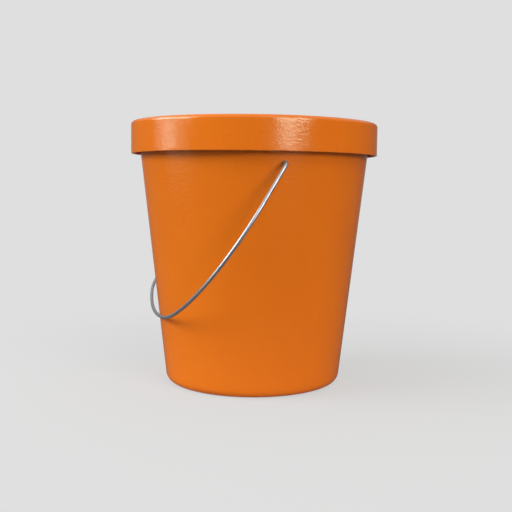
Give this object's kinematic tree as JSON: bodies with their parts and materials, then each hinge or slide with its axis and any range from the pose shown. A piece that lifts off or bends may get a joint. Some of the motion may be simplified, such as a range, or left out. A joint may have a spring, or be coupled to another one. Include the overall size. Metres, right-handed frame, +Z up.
{
  "type": "bucket",
  "caption": "Open tapered plastic bucket with a deep turned-down rim and a wire bail that swings from side to side and hangs against the wall.",
  "frame": {"origin": "on the bucket's axis, at the level of the floor that it stands on", "axes": "+Z up along the bucket's axis; Y along the bail's pivot line, with the front pivot at -Y; the bail hangs on the -X side"},
  "size_m": [0.262, 0.301, 0.2765],
  "materials": {
    "bucket": "glossy",
    "wire": "galvanised"
  },
  "bodies": {
    "bucket": {"bucket": "bucket"},
    "bail": {"bail": "wire"}
  },
  "joints": [
    {"name": "bail_swing", "type": "hinge", "parent": "bucket", "child": "bail", "pos_m": [0, 0, 0.2325], "axis": [0, 1, 0], "range_deg": [0, 294]}
  ]
}
